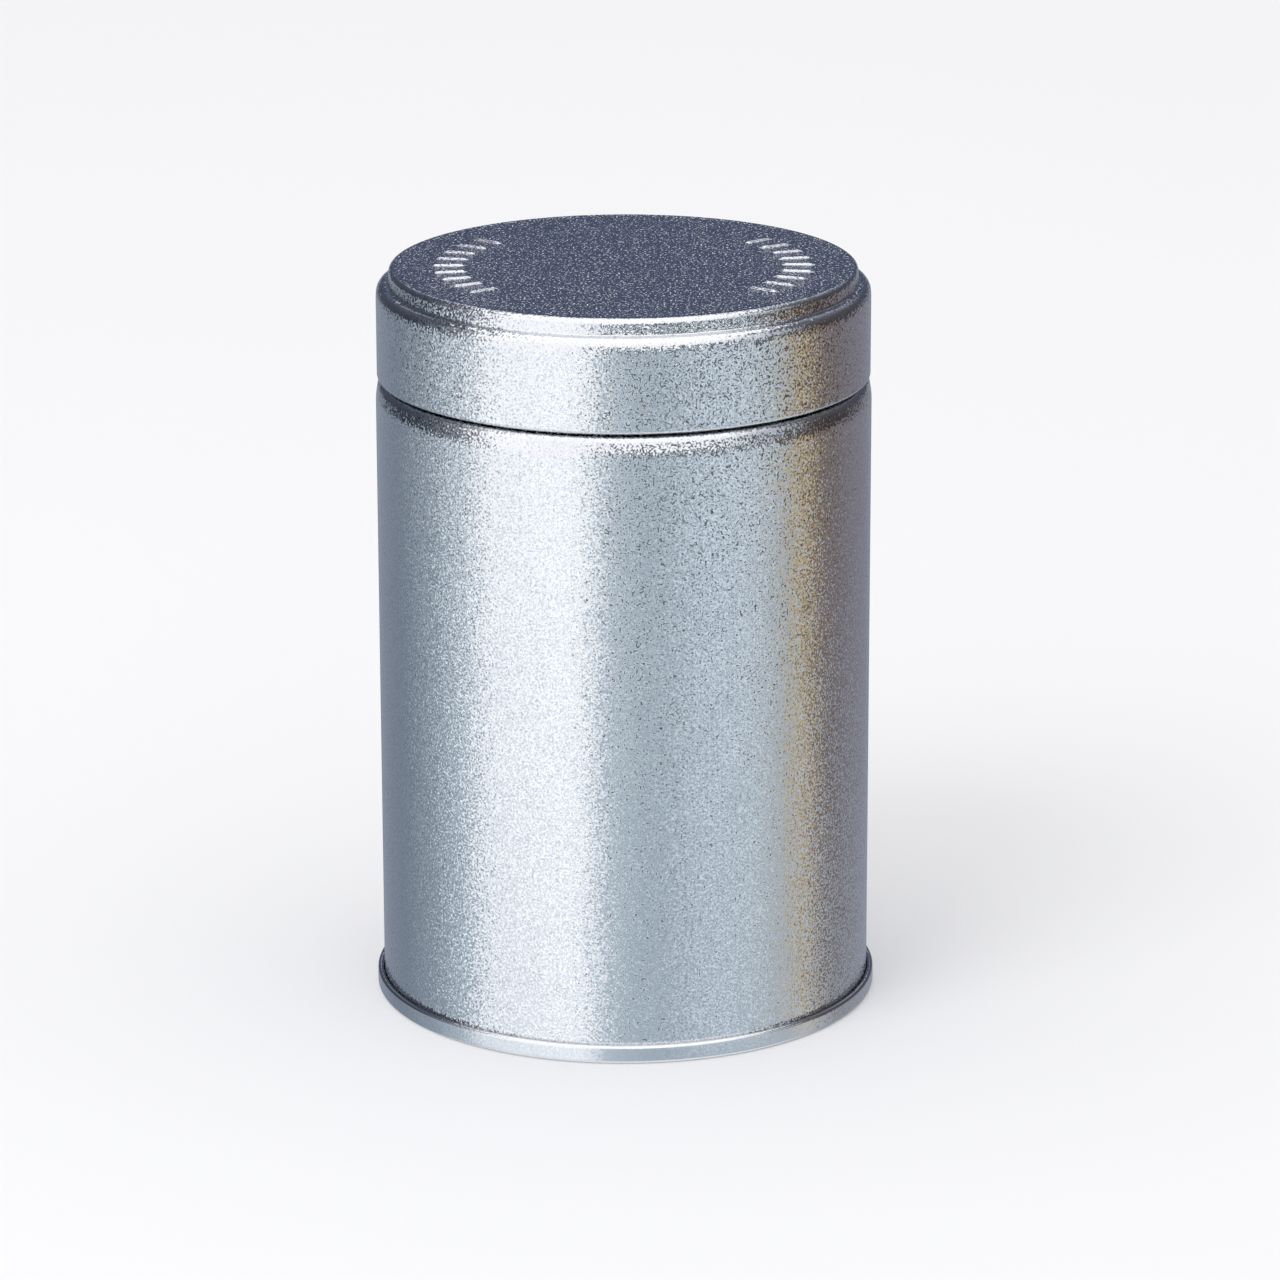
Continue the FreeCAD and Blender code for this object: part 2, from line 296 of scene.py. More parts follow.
def mark_height(radius, angle):
    """How far the lid's panel is stamped up at a point, from 0 to 1."""
    centre = 0.0 if math.cos(angle) > 0 else math.pi
    along = (angle - centre + math.pi) % (2 * math.pi) - math.pi
    most = (MARK_COUNT - 1) // 2
    index = max(-most, min(most, round(along / MARK_STEP)))
    across = (along - index * MARK_STEP) * radius
    beyond = max(abs(radius - MARK_RADIUS) - MARK_REACH, 0.0)
    edge = math.hypot(across, beyond) - MARK_HALF_WIDTH
    return 1 - smooth_step(-MARK_RAMP / 2, MARK_RAMP / 2, edge)


def lid_bulge(radius, z, angle):
    if z < PANEL_LOW or abs(radius - MARK_RADIUS) > MARK_RING_REACH:
        return radius, z
    return radius, z + MARK_HEIGHT * mark_height(radius, angle)


def with_mark_rings(points, spacing):
    """Adds close rings to the panel's flat runs where the marks are stamped."""
    rings = np.arange(MARK_RADIUS - MARK_RING_REACH, MARK_RADIUS + MARK_RING_REACH, spacing)
    result = []
    for start, end in zip(points, points[1:] + [points[-1]]):
        result.append(start)
        if abs(start[1] - end[1]) < SAME_PLACE and start[1] > PANEL_LOW:
            low, high = sorted((start[0], end[0]))
            inside = [float(r) for r in rings if low < r < high]
            if end[0] < start[0]:
                inside.reverse()
            result += [(r, start[1]) for r in inside]
    return result


def lid_angles():
    """Angles round the lid, close together where the marks are."""
    reach = MARK_STEP * (MARK_COUNT - 1) / 2 + MARK_ARC_MARGIN
    fine = np.linspace(-reach, reach, FINE_MARK_STEPS, endpoint=False)
    coarse = np.linspace(reach, math.pi - reach, COARSE_LID_STEPS, endpoint=False)
    return [float(angle) for angle in np.concatenate([fine, coarse, fine + math.pi, coarse + math.pi])]


def make_lid(material):
    path = lid_path()
    outer = supported(rounded(side_of(path, -HALF)))
    inner = supported(rounded(side_of(path, HALF)))
    outline = with_mark_rings(outer[::-1], MARK_RING_SPACING)
    outline += with_mark_rings(inner, HIDDEN_RING_SPACING)
    vertices, faces = lathe(outline, lid_angles(), lid_bulge)
    return new_piece("lid", vertices, faces, "lid", "lid_shell", material)


def body_path():
    hook = SEAM_RADIUS - HALF - LAYER
    wall = BODY_RADIUS - HALF
    neck = NECK_RADIUS - HALF
    fold_z = LAYER + HALF
    top = BODY_HIGH.z - HALF
    return [
        (hook, SEAM_HEIGHT - SHEET - HOOK_TIP_GAP, 0),
        (hook, fold_z, (hook - wall) / 2),
        (wall, fold_z, (hook - wall) / 2),
        (wall, BODY_LEAN_Z, BODY_LEAN_BEND),
        (wall - (SHOULDER_Z - BODY_LEAN_Z) * BODY_LEAN, SHOULDER_Z, SHOULDER_BEND),
        (neck, SHOULDER_Z + SHOULDER_RISE, NECK_BEND),
        (neck, top, NECK_CURL),
        (neck - 2 * NECK_CURL, top, NECK_CURL),
        (neck - 2 * NECK_CURL, top - 2 * NECK_CURL, NECK_CURL_END_BEND),
        (neck - HALF - NECK_CURL_END_INSET, top - 2 * NECK_CURL, 0),
    ]


def side_seam_height(arc):
    """Height of the folded side seam across its width, with a groove rolled along one edge."""
    edge = abs(arc) - SIDE_SEAM_HALF
    strip = 1 - smooth_step(-SIDE_SEAM_RAMP, SIDE_SEAM_RAMP, edge)
    groove = max(0.0, 1 - abs(arc + SIDE_SEAM_HALF + GROOVE_OFFSET) / GROOVE_HALF)
    return SIDE_SEAM_HEIGHT * strip - GROOVE_DEPTH * groove


def body_bulge(radius, z, angle):
    arc = (angle - SIDE_SEAM_ANGLE) * BODY_RADIUS
    if abs(arc) > 2 * SIDE_SEAM_HALF or radius < BODY_RADIUS - HALF:
        return radius, z
    fade = smooth_step(SIDE_SEAM_LOW, SIDE_SEAM_LOW + SIDE_SEAM_FADE, z)
    fade *= 1 - smooth_step(SIDE_SEAM_HIGH - SIDE_SEAM_FADE, SIDE_SEAM_HIGH, z)
    return radius + side_seam_height(arc) * fade, z


def make_body(material):
    left = supported(rounded(side_of(body_path(), HALF)))
    right = supported(rounded(side_of(body_path(), -HALF)))
    outline = left + right[::-1]
    arcs = [sign * (SIDE_SEAM_HALF + offset) for offset in SIDE_SEAM_LINES for sign in (-1, 1)]
    close = [SIDE_SEAM_ANGLE + arc / BODY_RADIUS for arc in arcs]
    angles = sorted(even_angles(TURN_STEPS) + close)
    vertices, faces = lathe(outline, angles, body_bulge)
    return new_piece("tin_body", vertices, faces, "tin", "body_shell", material)


def end_path():
    seaming_wall = SEAM_RADIUS - HALF
    cover_hook = seaming_wall - 2 * LAYER
    chuck_wall = seaming_wall - 4 * LAYER
    top = SEAM_HEIGHT - HALF
    panel = END_HIGH.z - HALF
    ring = panel - RING_DROP
    dish = ring + DISH_RISE
    return [
        (cover_hook, COVER_HOOK_TIP_Z, 0),
        (cover_hook, top, (seaming_wall - cover_hook) / 2),
        (seaming_wall, top, (seaming_wall - cover_hook) / 2),
        (seaming_wall, END_LOW.z + HALF, SEAM_CORNER_BEND),
        (chuck_wall, END_LOW.z + HALF, CHUCK_CORNER_BEND),
        (chuck_wall, panel, END_BEND),
        (RING_RADIUS + STEP_RUN, panel, END_BEND),
        (RING_RADIUS, ring, END_BEND),
        (DISH_RADIUS + STEP_RUN, ring, END_BEND),
        (DISH_RADIUS, dish, END_BEND),
        (0, dish, 0),
    ]


def make_bottom_end(material):
    path = end_path()
    upper = supported(rounded(side_of(path, -HALF)))
    under = supported(rounded(side_of(path, HALF)))
    vertices, faces = lathe(upper[::-1] + under, even_angles(TURN_STEPS))
    return new_piece("base_end", vertices, faces, "tin", "bottom_end", material)


# ---------------------------------------------------------------- the candle
FIT_GAP = 0.05 * MM
SUSTAINER_THICKNESS = 0.3 * MM
WAX_RADIUS = WAX_HIGH.x
WAX_LEVEL = WAX_HIGH.z - 0.6 * MM
WAX_SKIN = 0.01 * MM
WAX_EDGE_DEPTH = 1 * MM
WAX_MIDDLE_DEPTH = 40 * MM
WAX_RINGS = 48
WAX_STEPS = 192
WICK_RADIUS = BRAID_HIGH.x
WICK_HOLE = WICK_RADIUS + FIT_GAP

# The set wax: how high it creeps up the wall and the wick and over what distance, how far it
# sinks in a trough between them, and its ripples, by angle and by radius
CREEP_HEIGHT, CREEP_RUN = 0.9 * MM, 1.1 * MM
COLLAR_HEIGHT, COLLAR_RUN = 0.6 * MM, 0.8 * MM
SINK_DEPTH, SINK_RADIUS = 0.7 * MM, 9 * MM
RIPPLE_HEIGHT = 0.05 * MM
RIPPLE_ARMS, RIPPLE_TWIST, RIPPLE_WAVES = 3, 190, 260

# The braid's yarns and the core's threads
YARN_RADIUS = 0.36 * MM
WEAVE_DEPTH = 0.13 * MM
YARN_PITCH = 9 * MM
YARNS_EACH_WAY = 4
YARN_SIDES = 8
THREAD_RADIUS = 0.3 * MM
THREAD_OFFSET = 0.33 * MM
THREAD_PITCH = 3 * MM
THREADS = 3
THREAD_SIDES = 6
STRAND_SPACING = 0.3 * MM
# A direction that no strand runs in
STRAND_SIDE = (0.3, 0.2, 0.0)
WICK_TIP_LEAN = 0.55 * MM
WICK_TIP_HEIGHT = 7 * MM


def wax_surface(radius, angle):
    """Height of the set wax above its level: a rim at the wall and wick, a sink between."""
    rim = CREEP_HEIGHT * math.exp(-(WAX_RADIUS - radius) / CREEP_RUN)
    collar = COLLAR_HEIGHT * math.exp(-(radius - WICK_HOLE) / COLLAR_RUN)
    sink = -SINK_DEPTH * math.exp(-((radius - SINK_RADIUS) / SINK_RADIUS) ** 2)
    ripple = math.sin(RIPPLE_ARMS * angle + RIPPLE_TWIST * radius) * math.sin(RIPPLE_WAVES * radius)
    return rim + collar + sink + RIPPLE_HEIGHT * ripple * (radius / WAX_RADIUS)


def wax_bulge(radius, z, angle):
    if z < WAX_LEVEL - WAX_SKIN:
        return radius, z
    return radius, z + wax_surface(radius, angle)


def make_wax(material):
    wall = WAX_RADIUS
    floor = END_HIGH.z + FIT_GAP
    ring = floor - RING_DROP
    dish = ring + DISH_RISE
    disc = STICKER_HIGH.x + FIT_GAP
    disc_top = STICKER_HIGH.z + SUSTAINER_THICKNESS + FIT_GAP
    neck = WICK_RADIUS + SUSTAINER_THICKNESS + 2 * FIT_GAP
    neck_top = SUSTAINER_HIGH.z + FIT_GAP
    top = []
    for step in range(WAX_RINGS + 1):
        share = 0.5 - 0.5 * math.cos(math.pi * step / WAX_RINGS)
        top.append((WICK_HOLE + (wall - WICK_HOLE) * share, WAX_LEVEL))
    sides = [
        (wall, WAX_LEVEL - WAX_EDGE_DEPTH), (wall, WAX_LEVEL - WAX_MIDDLE_DEPTH), (wall, floor),
        (RING_RADIUS + STEP_RUN, floor), (RING_RADIUS, ring),
        (DISH_RADIUS + STEP_RUN, ring), (DISH_RADIUS, dish),
        (disc, dish), (disc, disc_top), (neck, disc_top), (neck, neck_top),
        (WICK_HOLE, neck_top), (WICK_HOLE, WAX_LEVEL - WAX_EDGE_DEPTH),
    ]
    vertices, faces = lathe(top + sides, even_angles(WAX_STEPS), wax_bulge)
    return new_piece("wax", vertices, faces, "tin", "wax_fill", material)


def tube(centres, radius, sides, first):
    """A round tube along a line of points, with flat ends; its vertices start at number first."""
    centres = np.array(centres)
    tangents = np.gradient(centres, axis=0)
    tangents /= np.linalg.norm(tangents, axis=1)[:, None]
    across = np.cross(tangents, STRAND_SIDE)
    across = np.where(np.linalg.norm(across, axis=1)[:, None] < STRAIGHT, (0.0, 1.0, 0.0), across)
    across /= np.linalg.norm(across, axis=1)[:, None]
    other = np.cross(tangents, across)
    vertices = []
    for centre, one, two in zip(centres, across, other):
        for side in range(sides):
            angle = 2 * math.pi * side / sides
            offset = one * math.cos(angle) + two * math.sin(angle)
            vertices.append(tuple(centre + offset * radius))
    faces = []
    for ring in range(len(centres) - 1):
        low = first + ring * sides
        for side in range(sides):
            after = (side + 1) % sides
            faces.append((low + side, low + after, low + sides + after, low + sides + side))
    faces.append(tuple(first + side for side in range(sides))[::-1])
    end = first + (len(centres) - 1) * sides
    faces.append(tuple(end + side for side in range(sides)))
    return vertices, faces


def wick_lean(z):
    """How far the wick leans over above the wax."""
    above = max(0.0, z - WAX_LEVEL) / WICK_TIP_HEIGHT
    return WICK_TIP_LEAN * above ** 2


def strand(turns_per_metre, phase, radius_at, low, high):
    points = []
    count = math.ceil((high - low) / STRAND_SPACING)
    for step in range(count + 1):
        z = low + (high - low) * step / count
        angle = phase + 2 * math.pi * turns_per_metre * z
        radius = radius_at(z, angle)
        points.append((radius * math.cos(angle) + wick_lean(z), radius * math.sin(angle), z))
    return points


def bundle(name, strands, radius, sides, node, material):
    vertices, faces = [], []
    for points in strands:
        more_vertices, more_faces = tube(points, radius, sides, len(vertices))
        vertices += more_vertices
        faces += more_faces
    return new_piece(name, vertices, faces, "tin", node, material)


def make_wick_braid(material):
    """Flat-plaited strands, as many each way, that pass over and under each other."""
    middle = WICK_RADIUS - YARN_RADIUS - WEAVE_DEPTH
    turns = 1 / YARN_PITCH
    strands = []
    for way in (-1, 1):
        for index in range(YARNS_EACH_WAY):
            phase = 2 * math.pi / YARNS_EACH_WAY * index

            def radius_at(z, angle, way=way):
                crossing = YARNS_EACH_WAY * (angle - way * 2 * math.pi * turns * z)
                return middle + way * WEAVE_DEPTH * math.cos(crossing)

            strands.append(strand(way * turns, phase, radius_at, BRAID_LOW.z, BRAID_HIGH.z))
    return bundle("wick_braid_yarns", strands, YARN_RADIUS, YARN_SIDES, "wick_braid", material)


def make_wick_core(material):
    """Threads twisted together down the middle of the braid."""
    strands = []
    for index in range(THREADS):
        phase = 2 * math.pi / THREADS * index
        points = strand(1 / THREAD_PITCH, phase, lambda z, angle: THREAD_OFFSET, BRAID_LOW.z, BRAID_HIGH.z)
        strands.append(points)
    return bundle("wick_core_threads", strands, THREAD_RADIUS, THREAD_SIDES, "wick_core", material)


# ---------------------------------------------------------------- materials
def new_material(name):
    material = bpy.data.materials.new(name)
    material.use_nodes = True
    tree = material.node_tree
    shader = tree.nodes["Principled BSDF"]
    place = tree.nodes.new("ShaderNodeTexCoord")
    return material, tree, shader, place.outputs["Object"]


def noise(tree, place, size, detail=2.0, roughness=0.5):
    """Noise with features of about size metres."""
    node = tree.nodes.new("ShaderNodeTexNoise")
    node.inputs["Scale"].default_value = 1 / size
    node.inputs["Detail"].default_value = detail
    node.inputs["Roughness"].default_value = roughness
    tree.links.new(place, node.inputs["Vector"])
    return node.outputs["Fac"]


def ramp(tree, value, stops, interpolation="LINEAR"):
    node = tree.nodes.new("ShaderNodeValToRGB")
    node.color_ramp.interpolation = interpolation
    elements = node.color_ramp.elements
    elements[0].position, elements[0].color = stops[0][0], (*stops[0][1], 1)
    elements[1].position, elements[1].color = stops[-1][0], (*stops[-1][1], 1)
    for position, colour in stops[1:-1]:
        elements.new(position).color = (*colour, 1)
    tree.links.new(value, node.inputs["Fac"])
    return node.outputs["Color"]


def span(tree, value, low, high):
    """Value from 0 to 1 spread over low to high."""
    node = tree.nodes.new("ShaderNodeMapRange")
    node.inputs["To Min"].default_value = low
    node.inputs["To Max"].default_value = high
    tree.links.new(value, node.inputs["Value"])
    return node.outputs["Result"]


def bump(tree, height, distance):
    node = tree.nodes.new("ShaderNodeBump")
    node.inputs["Distance"].default_value = distance
    node.inputs["Strength"].default_value = 1.0
    tree.links.new(height, node.inputs["Height"])
    return node.outputs["Normal"]


def share_between(tree, value, low, high):
    """0 below low, 1 above high and smooth between."""
    node = tree.nodes.new("ShaderNodeMapRange")
    node.interpolation_type = "SMOOTHSTEP"
    node.inputs["From Min"].default_value = low
    node.inputs["From Max"].default_value = high
    tree.links.new(value, node.inputs["Value"])
    return node.outputs["Result"]


def mix_colour(tree, share, first, second):
    node = tree.nodes.new("ShaderNodeMix")
    node.data_type = "RGBA"
    for socket, value in ((node.inputs[0], share), (node.inputs[6], first), (node.inputs[7], second)):
        if isinstance(value, tuple):
            socket.default_value = (*value, 1)
        else:
            tree.links.new(value, socket)
    return node.outputs[2]


def vector_node(tree, operation, first, second=None, scale=None):
    node = tree.nodes.new("ShaderNodeVectorMath")
    node.operation = operation
    for socket, value in zip(node.inputs, (first, second)):
        if isinstance(value, tuple):
            socket.default_value = value
        elif value:
            tree.links.new(value, socket)
    if scale:
        node.inputs["Scale"].default_value = scale
    return node.outputs[0]


def tilted_grain(tree, place, size, tilt):
    """A normal that tips to and fro from one grain of the metal to the next."""
    pebbles = tree.nodes.new("ShaderNodeTexNoise")
    pebbles.inputs["Scale"].default_value = 1 / size
    pebbles.inputs["Detail"].default_value = 0.5
    tree.links.new(place, pebbles.inputs["Vector"])
    surface = tree.nodes.new("ShaderNodeNewGeometry").outputs["Normal"]
    centred = vector_node(tree, "SUBTRACT", pebbles.outputs["Color"], (0.5, 0.5, 0.5))
    tipped = vector_node(tree, "ADD", surface, vector_node(tree, "SCALE", centred, scale=tilt))
    return vector_node(tree, "NORMALIZE", tipped), pebbles.outputs["Fac"]


CLEAN_METAL = [(0.3, (0.66, 0.67, 0.687)), (0.7, (0.685, 0.695, 0.708))]
METAL_CLOUD_SIZE = 9 * MM
METAL_GLOSS_SIZE = 0.8 * MM
# Values of the grain's noise below which the metal is a pit, and above which it is clean
PIT_EDGE = (0.30, 0.46)


def tinplate(name, size, tilt, pit, low_roughness, high_roughness):
    """Satin tinplate: fine pebbled grain with darker pits, faint cloudiness, uneven gloss."""
    material, tree, shader, place = new_material(name)
    shader.inputs["Metallic"].default_value = 1.0
    clean = ramp(tree, noise(tree, place, METAL_CLOUD_SIZE, 3), CLEAN_METAL)
    normal, pebble = tilted_grain(tree, place, size, tilt)
    open_metal = share_between(tree, pebble, *PIT_EDGE)
    tree.links.new(mix_colour(tree, open_metal, pit, clean), shader.inputs["Base Color"])
    gloss = noise(tree, place, METAL_GLOSS_SIZE, 2)
    tree.links.new(span(tree, gloss, low_roughness, high_roughness), shader.inputs["Roughness"])
    tree.links.new(normal, shader.inputs["Normal"])
    return material


WAX_COLOURS = [(0.3, (0.86, 0.77, 0.60)), (0.7, (0.92, 0.86, 0.73))]
WAX_ROUGHNESS = (0.32, 0.62)
WAX_CLOUD_SIZE = 12 * MM
WAX_FROST_SIZE = 3 * MM
WAX_DIMPLE_SIZE, WAX_DIMPLE_DEPTH = 1.5 * MM, 0.05 * MM
WAX_GLOW_REACH = 3 * MM


def wax_material():
    material, tree, shader, place = new_material("wax")
    cloud = noise(tree, place, WAX_CLOUD_SIZE, 4)
    colour = ramp(tree, cloud, WAX_COLOURS)
    tree.links.new(colour, shader.inputs["Base Color"])
    frost = noise(tree, place, WAX_FROST_SIZE, 5, 0.7)
    tree.links.new(span(tree, frost, *WAX_ROUGHNESS), shader.inputs["Roughness"])
    shader.inputs["Subsurface Weight"].default_value = 0.35
    shader.inputs["Subsurface Radius"].default_value = (1.0, 0.7, 0.4)
    shader.inputs["Subsurface Scale"].default_value = WAX_GLOW_REACH
    dimples = noise(tree, place, WAX_DIMPLE_SIZE, 4)
    tree.links.new(bump(tree, dimples, WAX_DIMPLE_DEPTH), shader.inputs["Normal"])
    return material


FIBRE_SIZE, FIBRE_DEPTH = 0.12 * MM, 0.04 * MM
FIBRE_STRETCH = 4


def yarn_material(name, dark, light):
    """Cotton with fibres that run up and down, FIBRE_STRETCH times as long as they are wide."""
    material, tree, shader, place = new_material(name)
    stretch = tree.nodes.new("ShaderNodeMapping")
    stretch.inputs["Scale"].default_value = (1, 1, 1 / FIBRE_STRETCH)
    tree.links.new(place, stretch.inputs["Vector"])
    fibre = noise(tree, stretch.outputs["Vector"], FIBRE_SIZE, 3, 0.7)
    tree.links.new(ramp(tree, fibre, [(0.3, dark), (0.7, light)]), shader.inputs["Base Color"])
    shader.inputs["Roughness"].default_value = 0.75
    shader.inputs["Sheen Weight"].default_value = 0.3
    tree.links.new(bump(tree, fibre, FIBRE_DEPTH), shader.inputs["Normal"])
    return material


PLAIN_BUMP_DEPTH = 0.03 * MM


def plain_material(name, dark, light, size, low_roughness, high_roughness, metallic=0.0):
    """Patches of about size metres from dark to light, with a finer bump."""
    material, tree, shader, place = new_material(name)
    shader.inputs["Metallic"].default_value = metallic
    patch = noise(tree, place, size, 4)
    tree.links.new(ramp(tree, patch, [(0.3, dark), (0.7, light)]), shader.inputs["Base Color"])
    tree.links.new(span(tree, patch, low_roughness, high_roughness), shader.inputs["Roughness"])
    tree.links.new(bump(tree, noise(tree, place, size / 3, 3), PLAIN_BUMP_DEPTH), shader.inputs["Normal"])
    return material


def dress(node, material):
    """Gives a CAD node a material in place of its own."""
    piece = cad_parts[node]
    piece.data.materials.clear()
    piece.data.materials.append(material)


# ---------------------------------------------------------------- studio
FLOOR_REACH = 4.0
FLOOR_Z = -0.02 * MM
FLOOR_PATCH_SIZE = 0.4
FLOOR_COLOURS = [(0.0, (0.86, 0.86, 0.865)), (1.0, (0.88, 0.88, 0.885))]


def make_floor():
    mesh = bpy.data.meshes.new("floor")
    signs = [(-1, -1), (1, -1), (1, 1), (-1, 1)]
    corners = [(across * FLOOR_REACH, along * FLOOR_REACH, FLOOR_Z) for across, along in signs]
    mesh.from_pydata(corners, [], [(0, 1, 2, 3)])
    floor = bpy.data.objects.new("floor", mesh)
    bpy.context.scene.collection.objects.link(floor)
    material, tree, shader, place = new_material("floor")
    tone = ramp(tree, noise(tree, place, FLOOR_PATCH_SIZE, 2), FLOOR_COLOURS)
    tree.links.new(tone, shader.inputs["Base Color"])
    shader.inputs["Roughness"].default_value = 0.9
    shader.inputs["Specular IOR Level"].default_value = 0.1
    mesh.materials.append(material)
    # The tin's walls mirror the studio's cards, and not the floor's plain white.
    floor.visible_glossy = False


def math_node(tree, operation, *values):
    node = tree.nodes.new("ShaderNodeMath")
    node.operation = operation
    for socket, value in zip(node.inputs, values):
        if isinstance(value, (int, float)):
            socket.default_value = value
        else:
            tree.links.new(value, socket)
    return node.outputs[0]


# What the studio looks like to the metal, by height above the horizon. Each row goes once round,
# from behind the tin by its left, front (0 degrees, the camera's side) and right.
FAR_DOWN = [(-180, (1.05, 1.08, 1.12)), (180, (1.05, 1.08, 1.12))]
LOW = [
    (-180, (0.32, 0.35, 0.42)),
    (-128, (0.26, 0.31, 0.38)),
    (-106, (0.34, 0.41, 0.48)),
    (-84, (0.50, 0.60, 0.69)),
    (-66, (1.02, 1.08, 1.16)),
    (-20, (1.16, 1.21, 1.28)),
    (-8, (0.58, 0.68, 0.77)),
    (14, (0.50, 0.59, 0.67)),
    (42, (0.57, 0.66, 0.75)),
    (80, (0.56, 0.625, 0.69)),
    (92, (0.66, 0.70, 0.75)),
    (104, (0.54, 0.57, 0.61)),
    (118, (0.38, 0.40, 0.45)),
    (180, (0.32, 0.35, 0.42)),
]
MIDDLE = [
    (-180, (0.32, 0.35, 0.42)),
    (-128, (0.215, 0.26, 0.33)),
    (-106, (0.265, 0.32, 0.385)),
    (-84, (0.43, 0.52, 0.61)),
    (-66, (1.26, 1.29, 1.35)),
    (-20, (1.42, 1.45, 1.50)),
    (-8, (0.60, 0.70, 0.79)),
    (14, (0.48, 0.58, 0.66)),
    (40, (0.80, 0.92, 1.03)),
    (64, (0.78, 0.89, 0.98)),
    (80, (0.54, 0.54, 0.52)),
    (90, (0.74, 0.52, 0.12)),
    (96, (0.50, 0.33, 0.06)),
    (103, (0.14, 0.10, 0.08)),
    (145, (0.26, 0.26, 0.31)),
    (180, (0.32, 0.35, 0.42)),
]
UPPER = [
    (-180, (0.32, 0.35, 0.42)),
    (-128, (0.28, 0.33, 0.40)),
    (-106, (0.51, 0.59, 0.66)),
    (-84, (1.12, 1.23, 1.30)),
    (-66, (1.40, 1.44, 1.48)),
    (-20, (1.56, 1.58, 1.60)),
    (-8, (0.98, 1.10, 1.16)),
    (14, (0.79, 0.91, 0.98)),
    (42, (0.97, 1.09, 1.19)),
    (64, (0.91, 1.02, 1.09)),
    (80, (0.56, 0.55, 0.52)),
    (92, (0.62, 0.49, 0.31)),
    (101, (0.28, 0.22, 0.20)),
    (145, (0.26, 0.25, 0.30)),
    (180, (0.32, 0.35, 0.42)),
]
LEVEL = [
    (-180, (0.40, 0.43, 0.50)),
    (-142, (0.06, 0.07, 0.09)),
    (-110, (0.04, 0.05, 0.07)),
    (-74, (0.20, 0.22, 0.27)),
    (-62, (1.3, 1.3, 1.35)),
    (-18, (1.3, 1.3, 1.35)),
    (-6, (0.12, 0.14, 0.16)),
    (60, (0.10, 0.115, 0.13)),
    (84, (0.11, 0.09, 0.08)),
    (110, (0.05, 0.045, 0.05)),
    (132, (0.08, 0.08, 0.09)),
    (180, (0.40, 0.43, 0.50)),
]
HIGH = [
    (-180, (0.072, 0.09, 0.155)),
    (-150, (0.07, 0.08, 0.11)),
    (-112, (0.06, 0.07, 0.10)),
    (-84, (0.28, 0.30, 0.34)),
    (-66, (1.45, 1.45, 1.5)),
    (36, (1.35, 1.36, 1.4)),
    (76, (0.6, 0.65, 0.74)),
    (98, (0.10, 0.085, 0.09)),
    (150, (0.08, 0.085, 0.12)),
    (180, (0.072, 0.09, 0.155)),
]
OVERHEAD = [
    (-180, (1.4, 1.42, 1.5)),
    (-166, (0.40, 0.42, 0.50)),
    (-150, (0.10, 0.115, 0.16)),
    (-108, (0.10, 0.115, 0.16)),
    (-80, (0.5, 0.52, 0.56)),
    (-60, (1.5, 1.5, 1.55)),
    (50, (1.5, 1.5, 1.55)),
    (96, (0.16, 0.165, 0.19)),
    (125, (0.13, 0.135, 0.16)),
    (160, (0.34, 0.36, 0.43)),
    (180, (1.4, 1.42, 1.5)),
]
CEILING = [(-180, (1.6, 1.62, 1.68)), (180, (1.6, 1.62, 1.68))]
# (row, elevation where it starts to take over, elevation where it has)
ROWS = [
    (LOW, -60, -34),
    (MIDDLE, -20, -17.5),
    (UPPER, -16.5, -14),
    (LEVEL, -10.5, -8.5),
    (HIGH, -3, 3),
    (OVERHEAD, 20, 29),
    (CEILING, 45, 60),
]


BACKDROP = (0.98, 0.98, 1.0)


def make_world():
    """Light bands that only reflections see, and a plain pale backdrop for everything else."""
    world = bpy.data.worlds.new("studio")
    bpy.context.scene.world = world
    world.use_nodes = True
    tree = world.node_tree
    background = tree.nodes["Background"]
    direction = tree.nodes.new("ShaderNodeTexCoord").outputs["Generated"]
    parts = tree.nodes.new("ShaderNodeSeparateXYZ")
    tree.links.new(direction, parts.inputs[0])
    x, y, z = parts.outputs
    azimuth = math_node(tree, "ARCTAN2", x, math_node(tree, "MULTIPLY", y, -1.0))
    turn = math_node(tree, "MULTIPLY_ADD", azimuth, 1 / (2 * math.pi), 0.5)
    elevation = math_node(tree, "MULTIPLY", math_node(tree, "ARCSINE", z), 180 / math.pi)

    def row(stops):
        return ramp(tree, turn, [((angle + 180) / 360, colour) for angle, colour in stops], "EASE")

    colour = row(FAR_DOWN)
    for stops, start, end in ROWS:
        colour = mix_colour(tree, share_between(tree, elevation, start, end), colour, row(stops))
    ray = tree.nodes.new("ShaderNodeLightPath")
    seen = mix_colour(tree, ray.outputs["Is Glossy Ray"], BACKDROP, colour)
    tree.links.new(seen, background.inputs["Color"])
    background.inputs["Strength"].default_value = 1.0


KEY_PLACE = (-0.7, -0.9, 1.3)
KEY_AIM = (0, 0, 0.05)
KEY_SIZE = 0.9
KEY_ENERGY = 6.0


def make_key_light():
    """A broad soft light from the upper left front, for the matt surfaces."""
    light = bpy.data.lights.new("soft_key", "AREA")
    light.shape = "DISK"
    light.size = KEY_SIZE
    light.energy = KEY_ENERGY
    lamp = bpy.data.objects.new("soft_key", light)
    bpy.context.scene.collection.objects.link(lamp)
    lamp.location = KEY_PLACE
    aim = Vector(KEY_AIM) - lamp.location
    lamp.rotation_euler = aim.to_track_quat("-Z", "Y").to_euler()
    lamp.visible_glossy = False
    lamp.visible_camera = False


CAMERA_PLACE = (0, -0.8477, 0.3099)
CAMERA_PITCH, CAMERA_YAW, CAMERA_ROLL = 0.2924, 0.0028, -0.0022
CAMERA_LENS = 162.4


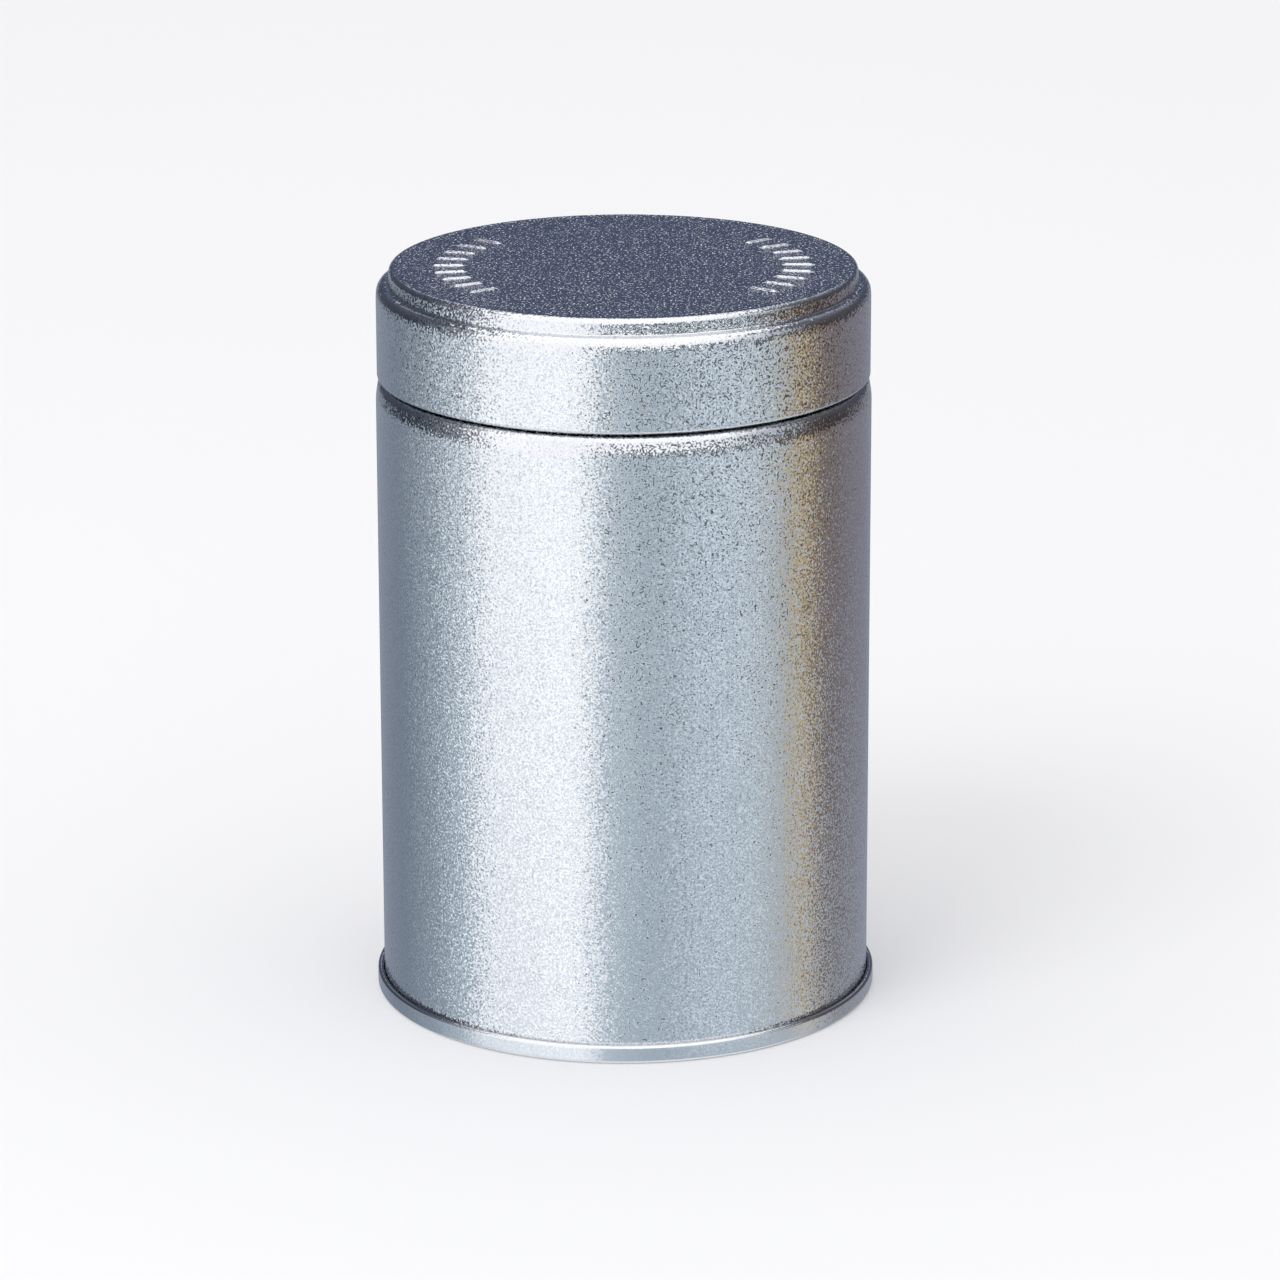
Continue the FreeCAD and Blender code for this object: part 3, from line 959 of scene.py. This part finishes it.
def make_camera():
    """A long lens a little above the tin, looking down on it."""
    data = bpy.data.cameras.new("camera")
    data.sensor_width = 36
    data.lens = CAMERA_LENS
    data.clip_start = 0.01
    camera = bpy.data.objects.new("camera", data)
    bpy.context.scene.collection.objects.link(camera)
    camera.location = CAMERA_PLACE
    reach = math.cos(CAMERA_PITCH)
    ahead = (math.sin(CAMERA_YAW) * reach, math.cos(CAMERA_YAW) * reach, -math.sin(CAMERA_PITCH))
    forward = Vector(ahead)
    level = Vector((math.cos(CAMERA_YAW), -math.sin(CAMERA_YAW), 0))
    upright = level.cross(forward)
    right = level * math.cos(CAMERA_ROLL) + upright * math.sin(CAMERA_ROLL)
    up = upright * math.cos(CAMERA_ROLL) - level * math.sin(CAMERA_ROLL)
    turn = Matrix((right, up, -forward)).transposed()
    camera.rotation_euler = turn.to_euler()
    bpy.context.scene.camera = camera


make_camera()
make_floor()
make_world()
make_key_light()

PIT = (0.54, 0.55, 0.575)
SHALLOW_PIT = (0.62, 0.63, 0.65)
LID_GRAIN, LID_TILT = 0.33 * MM, 0.54
BODY_GRAIN, BODY_TILT = 0.31 * MM, 0.48
BASE_GRAIN, BASE_TILT = 0.31 * MM, 0.15
make_lid(tinplate("tinplate_lid", LID_GRAIN, LID_TILT, PIT, 0.08, 0.13))
make_body(tinplate("tinplate_body", BODY_GRAIN, BODY_TILT, PIT, 0.08, 0.13))
make_bottom_end(tinplate("tinplate_base", BASE_GRAIN, BASE_TILT, SHALLOW_PIT, 0.10, 0.18))
make_wax(wax_material())
make_wick_braid(yarn_material("cotton", (0.72, 0.66, 0.55), (0.9, 0.86, 0.78)))
make_wick_core(yarn_material("core_thread", (0.55, 0.47, 0.36), (0.72, 0.64, 0.52)))
STEEL = plain_material("sustainer_steel", (0.42, 0.43, 0.45), (0.6, 0.61, 0.62), 2 * MM, 0.25, 0.4, 1.0)
FOAM = plain_material("sticker_foam", (0.78, 0.77, 0.72), (0.88, 0.87, 0.83), 1 * MM, 0.7, 0.9)
COMPOUND = plain_material("sealing_compound", (0.42, 0.36, 0.27), (0.55, 0.48, 0.38), 1 * MM, 0.5, 0.7)
dress("wick_sustainer", STEEL)
dress("wick_sticker", FOAM)
dress("seam_compound", COMPOUND)

bpy.context.scene.view_settings.view_transform = "Standard"
